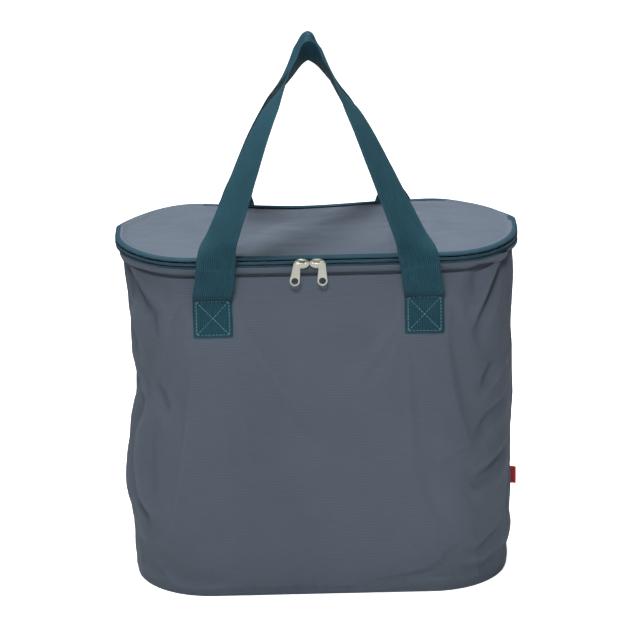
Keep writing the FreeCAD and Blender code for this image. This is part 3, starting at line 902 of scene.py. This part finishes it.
def backing_patches():
    """Stiff patches inside the fabric, behind the stitched-down handle ends."""
    down = np.linspace(PATCH_HIGH.z + 3 * MM, PATCH_LOW.z - 3 * MM, 12)
    places = [(side * LEGS[which][0] * MM, out) for out, which in ((-1, "front"), (1, "back"))
              for side in (-1, 1)]
    for k, (x, out) in enumerate(places):
        centre = xyz(x, out * (BODY_TOP.y - 2.0 * MM), down)
        grid = strap_grid(centre, ACROSS, 44 * MM, 0.7 * MM, 80 + k)
        nodes = () if k else ("handle_backing_patches",)
        strap_mesh("backing_patch_%d" % k, grid, "bag", *nodes, slot="binding")


def side_tab():
    """The folded cloth tab in the right side seam, left plain."""
    x0, x1, thick = LABEL_LOW.x - 2.5 * MM, LABEL_HIGH.x, 0.7 * MM
    z = np.linspace(LABEL_LOW.z, LABEL_HIGH.z, 14)
    turn = np.linspace(-0.5, 0.5, 9) * math.pi
    fold = [(x1 - thick + thick * math.cos(a), thick * math.sin(a)) for a in turn]
    near = [(x, -thick - 0.15 * MM * math.sin((x - x0) / (x1 - x0) * math.pi))
            for x in np.linspace(x0, x1 - 1 * MM, 6)]
    section = near + fold + [(x, -y) for x, y in near[::-1]]
    points = np.array([[(x, y, h) for h in z] for x, y in section])
    points[..., 1] += 0.3 * MM * np.sin(points[..., 2] * 400)
    points[..., 0] += 1.2 * MM
    points[..., 2] -= 3.5 * MM + (points[..., 0] - x1) * 0.12
    strap_mesh("side_tab", points, "bag", "side_label", slot="label_fabric")


# ---- Materials ----
class Shader:
    """A small builder for one node material."""

    def __init__(self, name):
        self.material = bpy.data.materials.new(name)
        self.material.use_nodes = True
        self.tree = self.material.node_tree
        self.surface = self.tree.nodes["Principled BSDF"]

    def add(self, kind, inputs=(), **settings):
        """A node, with its inputs and its settings."""
        made = self.tree.nodes.new("ShaderNode" + kind)
        for key, value in settings.items():
            setattr(made, key, value)
        for key, value in dict(inputs).items():
            self.set(made.inputs[key], value)
        return made

    def set(self, socket, value):
        if isinstance(value, bpy.types.NodeSocket):
            self.tree.links.new(value, socket)
        elif socket.type == "RGBA" and len(value) == 3:
            socket.default_value = (*value, 1.0)
        else:
            socket.default_value = value

    def finish(self, inputs):
        """Set the surface's inputs, and give back the material."""
        for key, value in inputs.items():
            self.set(self.surface.inputs[key], value)
        return self.material

    def position(self):
        return self.add("TexCoord").outputs["Object"]

    def uv(self):
        return self.add("UVMap", uv_map="UVMap").outputs[0]

    def ridge(self):
        """About 0.5 on flat ground, more on a ridge and less in a hollow."""
        return self.add("NewGeometry").outputs["Pointiness"]

    def math(self, operation, first, second=0.0):
        return self.add("Math", {0: first, 1: second}, operation=operation).outputs[0]

    def times(self, first, second):
        return self.math("MULTIPLY", first, second)

    def plus(self, first, second):
        return self.math("ADD", first, second)

    def noise(self, where, scale, detail=2.0, roughness=0.5):
        inputs = {"Vector": where, "Scale": scale, "Detail": detail, "Roughness": roughness}
        return self.add("TexNoise", inputs).outputs["Fac"]

    def stretched(self, where, scale, detail):
        """Noise that is drawn out along the directions of small scale."""
        mapped = self.add("Mapping", {"Vector": where, "Scale": scale}).outputs[0]
        return self.noise(mapped, 1.0, detail)

    def ramp(self, value, low, high, to_low=0.0, to_high=1.0):
        inputs = {0: value, 1: low, 2: high, 3: to_low, 4: to_high}
        return self.add("MapRange", inputs).outputs[0]

    def mix(self, share, first, second):
        made = self.add("Mix", data_type="RGBA")
        for key, value in ((0, share), (6, first), (7, second)):
            self.set(made.inputs[key], value)
        return made.outputs[2]

    def bump(self, height, distance, strength=1.0, normal=None):
        inputs = {"Height": height, "Distance": distance, "Strength": strength}
        if normal is not None:
            inputs["Normal"] = normal
        return self.add("Bump", inputs).outputs[0]


def linear(red, green, blue):
    """A colour given in 0 to 255 display values."""
    return tuple(((v / 255 + 0.055) / 1.055) ** 2.4 for v in (red, green, blue))


def brighter(colour, gain, lift=0.0):
    return tuple(min(1.0, c * gain + lift) for c in colour)


def cloth_material(name, colour, pitch_u, pitch_v, depth, contrast=0.35, fleck=0.12, roughness=0.85,
                   worn=0.25):
    """Woven cloth: threads across u and v in real size, with uneven yarn, slight fade and worn folds.
    The pitches and the weave's depth are in mm."""
    shader = Shader(name)
    uv, position = shader.uv(), shader.position()
    split = shader.add("SeparateXYZ", {0: uv})
    drift = shader.times(shader.noise(position, 260.0), 0.35)
    row = shader.plus(shader.math("DIVIDE", split.outputs[1], pitch_v * MM), drift)
    half_step = shader.times(shader.math("FLOOR", row), 0.5)
    column = shader.plus(shader.math("DIVIDE", split.outputs[0], pitch_u * MM), half_step)
    across, along = (shader.math("ABSOLUTE", shader.math("SINE", shader.times(count, math.pi)))
                     for count in (row, column))
    weave = shader.times(shader.math("POWER", across, 0.6), shader.plus(shader.times(along, 0.55), 0.45))
    slub = shader.stretched(uv, (60.0, 900.0, 1.0), 2.0)
    broad = shader.noise(position, 7.0, 3.0)
    share = shader.times(weave, 0.62)
    for pattern, amount in ((slub, fleck * 5), (broad, 0.6)):
        share = shader.plus(share, shader.times(shader.math("SUBTRACT", pattern, 0.5), amount))
    dark, light = brighter(colour, 1 - contrast), brighter(colour, 1 + contrast * 0.8, 0.004)
    pale = brighter(colour, 1.5, 0.03)
    fade = shader.ramp(shader.ridge(), 0.505, 0.56, 0.0, worn)
    return shader.finish({
        "Base Color": shader.mix(fade, shader.mix(shader.ramp(share, 0.0, 1.0), dark, light), pale),
        "Roughness": shader.ramp(weave, 0.0, 1.0, roughness + 0.1, roughness - 0.08),
        "Specular IOR Level": 0.22,
        "Sheen Weight": 0.12,
        "Sheen Roughness": 0.45,
        "Sheen Tint": pale,
        "Normal": shader.bump(weave, depth * MM, 1.0, shader.bump(slub, 0.12 * MM, 0.6)),
    })


def metal_material(name, colour):
    """Satin nickel plate with fine scratches, and painted shade that slightly darkens its recesses."""
    shader = Shader(name)
    position = shader.position()
    scratch = shader.stretched(position, (6000.0, 900.0, 900.0), 3.0)
    # Painted shade: the plate's colour is darkened in concave places, where less light reaches.
    recess_shade = shader.ramp(shader.ridge(), 0.42, 0.5, 0.55, 0.0)
    blotch = shader.ramp(shader.noise(position, 260.0), 0.3, 0.7, 0.24, 0.38)
    soft = shader.add("Bevel", {"Radius": 0.4 * MM}).outputs[0]
    return shader.finish({
        "Base Color": shader.mix(recess_shade, colour, brighter(colour, 0.45)),
        "Metallic": 1.0,
        "Roughness": shader.plus(blotch, shader.times(scratch, 0.08)),
        "Normal": shader.bump(scratch, 0.02 * MM, 0.4, soft),
    })


def foil_material(name):
    """Metallised film on cloth: bright, crinkled, with a faint square weave pressed through."""
    shader = Shader(name)
    position = shader.position()
    crinkle = shader.add("TexVoronoi", {"Vector": position, "Scale": 70.0},
                         feature="DISTANCE_TO_EDGE").outputs[0]
    folds = shader.noise(position, 38.0, 6.0, 0.65)
    weave = shader.add("TexChecker", {"Vector": shader.uv(), "Scale": 900.0}).outputs["Fac"]
    creased = shader.bump(shader.ramp(crinkle, 0.0, 0.12), 0.5 * MM, 0.7)
    folded = shader.bump(folds, 0.9 * MM, 0.8, creased)
    return shader.finish({
        "Base Color": shader.mix(folds, (0.62, 0.64, 0.66), (0.86, 0.87, 0.88)),
        "Metallic": 0.75,
        "Roughness": shader.ramp(folds, 0.3, 0.7, 0.26, 0.44),
        "Normal": shader.bump(weave, 0.04 * MM, 0.4, folded),
    })


def foam_material(name):
    """Closed-cell foam: off-white, matt and finely pitted."""
    shader = Shader(name)
    where = {"Vector": shader.position(), "Scale": 900.0}
    cells = shader.add("TexVoronoi", where).outputs["Distance"]
    return shader.finish({
        "Base Color": shader.mix(cells, (0.74, 0.76, 0.78), (0.86, 0.87, 0.88)),
        "Roughness": 0.9,
        "Normal": shader.bump(cells, 0.3 * MM, 0.8),
    })


def plastic_material(name, colour):
    """Nylon coil: satin plastic with slight colour change and fine moulding texture."""
    shader = Shader(name)
    cloud = shader.noise(shader.position(), 500.0, 3.0)
    return shader.finish({
        "Base Color": shader.mix(cloud, brighter(colour, 0.75), brighter(colour, 1.25)),
        "Roughness": shader.ramp(cloud, 0.3, 0.7, 0.38, 0.55),
        "Normal": shader.bump(cloud, 0.03 * MM, 0.5),
    })


def thread_material(name, colour):
    """Twisted thread: slanting plies with a soft shine."""
    shader = Shader(name)
    where = {"Vector": shader.position(), "Scale": 520.0, "Distortion": 2.0}
    plies = shader.add("TexWave", where, bands_direction="DIAGONAL").outputs["Fac"]
    return shader.finish({
        "Base Color": shader.mix(plies, brighter(colour, 0.7), brighter(colour, 1.2)),
        "Roughness": 0.6,
        "Sheen Weight": 0.3,
        "Normal": shader.bump(plies, 0.1 * MM, 0.8),
    })


# ---- Stage ----
FLOOR_HALF = 14.0
# Each light: its place, what it points at, its size, its power in watts and its spread in degrees
LIGHTS = {
    "key": ((-0.12, -1.6, 1.5), (0, -0.1, 0.27), (0.45, 0.35), 1.2, 34),
    "top": ((-0.2, 0.3, 2.3), (0, 0.1, 0.3), (1.6, 0.7), 70, 180),
}
# How bright the sky and the floor are to the object, and to the camera
SKY, FLOOR_GLOW = (0.11, 1.0), (0.04, 0.8)
CAMERA_TARGET, CAMERA_DISTANCE, CAMERA_LENS = Vector((-0.0007, 0, 0.260)), 3.333, 190.56
CAMERA_AZIMUTH, CAMERA_ELEVATION, CAMERA_ROLL = (math.radians(angle) for angle in (-0.6, 19.4, -1.05))


def soft_light(name, spot, target, size, power, spread):
    data = bpy.data.lights.new(name, "AREA")
    data.spread = math.radians(spread)
    data.shape = "RECTANGLE"
    data.size, data.size_y = size
    data.energy = power
    light = add_object(name, data)
    light.location = spot
    light.rotation_euler = (Vector(target) - Vector(spot)).to_track_quat("-Z", "Y").to_euler()


def stage():
    """A plain pale floor and sky, and the lights."""
    corners = [(x * FLOOR_HALF, y * FLOOR_HALF, 0) for x, y in ((-1, -1), (1, -1), (1, 1), (-1, 1))]
    floor = make_piece("floor", corners, [[0, 1, 2, 3]])
    shader = Shader("floor_paint")
    seen = shader.add("LightPath").outputs["Is Camera Ray"]
    glow = shader.ramp(seen, 0.0, 1.0, *FLOOR_GLOW)
    paint(floor, shader.finish({
        "Base Color": (0.94, 0.94, 0.94),
        "Roughness": 0.9,
        "Emission Color": (1.0, 1.0, 1.0),
        "Emission Strength": glow,
    }))
    world = bpy.data.worlds.new("sky")
    world.use_nodes = True
    nodes, links = world.node_tree.nodes, world.node_tree.links
    nodes["Background"].inputs[0].default_value = (1, 1, 1, 1)
    seen = nodes.new("ShaderNodeLightPath")
    strength = nodes.new("ShaderNodeMapRange")
    strength.inputs[3].default_value, strength.inputs[4].default_value = SKY
    links.new(seen.outputs["Is Camera Ray"], strength.inputs[0])
    links.new(strength.outputs[0], nodes["Background"].inputs[1])
    bpy.context.scene.world = world
    for name, settings in LIGHTS.items():
        soft_light(name, *settings)


def camera():
    """Level with the reference view: a little to the left, looking down on the lid."""
    level = math.cos(CAMERA_ELEVATION)
    back = Vector((math.sin(CAMERA_AZIMUTH) * level, -math.cos(CAMERA_AZIMUTH) * level,
                   math.sin(CAMERA_ELEVATION)))
    data = bpy.data.cameras.new("camera")
    data.sensor_width = 36.0
    data.lens = CAMERA_LENS
    data.clip_start, data.clip_end = 0.1, 60
    eye = add_object("camera", data)
    eye.location = CAMERA_TARGET + back * CAMERA_DISTANCE
    aim = (-back).to_track_quat("-Z", "Y").to_matrix() @ Matrix.Rotation(CAMERA_ROLL, 3, "Z")
    eye.rotation_euler = aim.to_euler()
    bpy.context.scene.camera = eye
    bpy.context.scene.view_settings.view_transform = "Standard"


# ---- Build ----
nickel = metal_material("nickel_plate", (0.66, 0.65, 0.58))
# The material of each of the record's slots
MATERIALS = {
    "shell_fabric": cloth_material("shell_cloth", linear(82, 91, 103), 1.3, 1.6, 0.2, 0.28, 0.05),
    "lid_fabric": cloth_material("lid_cloth", linear(85, 94, 106), 1.3, 1.6, 0.2, 0.28, 0.05),
    "webbing": cloth_material("webbing_weave", linear(22, 68, 82), 2.2, 2.0, 0.35, 0.8, 0.1, 0.8, 0.1),
    "zip_tape": cloth_material("tape_weave", linear(21, 58, 73), 0.7, 0.9, 0.15, roughness=0.8),
    "binding": cloth_material("binding_weave", linear(44, 52, 62), 0.9, 1.2, 0.2),
    "label_fabric": cloth_material("tab_weave", linear(158, 38, 46), 0.5, 0.6, 0.12),
    "zip_coil": plastic_material("coil_nylon", linear(24, 60, 76)),
    "foil_lining": foil_material("foil_film"),
    "foam": foam_material("foam_cells"),
    "thread": thread_material("teal_thread", linear(92, 138, 150)),
    "grey_thread": thread_material("grey_thread", linear(66, 74, 84)),
}

panels = body_panels()
base_fabric()
seam_allowances(panels)
wall_insulation(panels)
lining(panels)
backing_patches()
zip_tapes()
zip_coils()
hinge_strip()
bindings()
lid_grid = lid_top()
lid_inside(lid_grid)
hem_stitching(panels)
lid_stitching(lid_grid)
handle("front")
handle("back")
side_tab()
for node in ("left_slider_body", "right_slider_body", "left_pull_tab", "right_pull_tab"):
    paint(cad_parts[node], nickel)

stage()
camera()
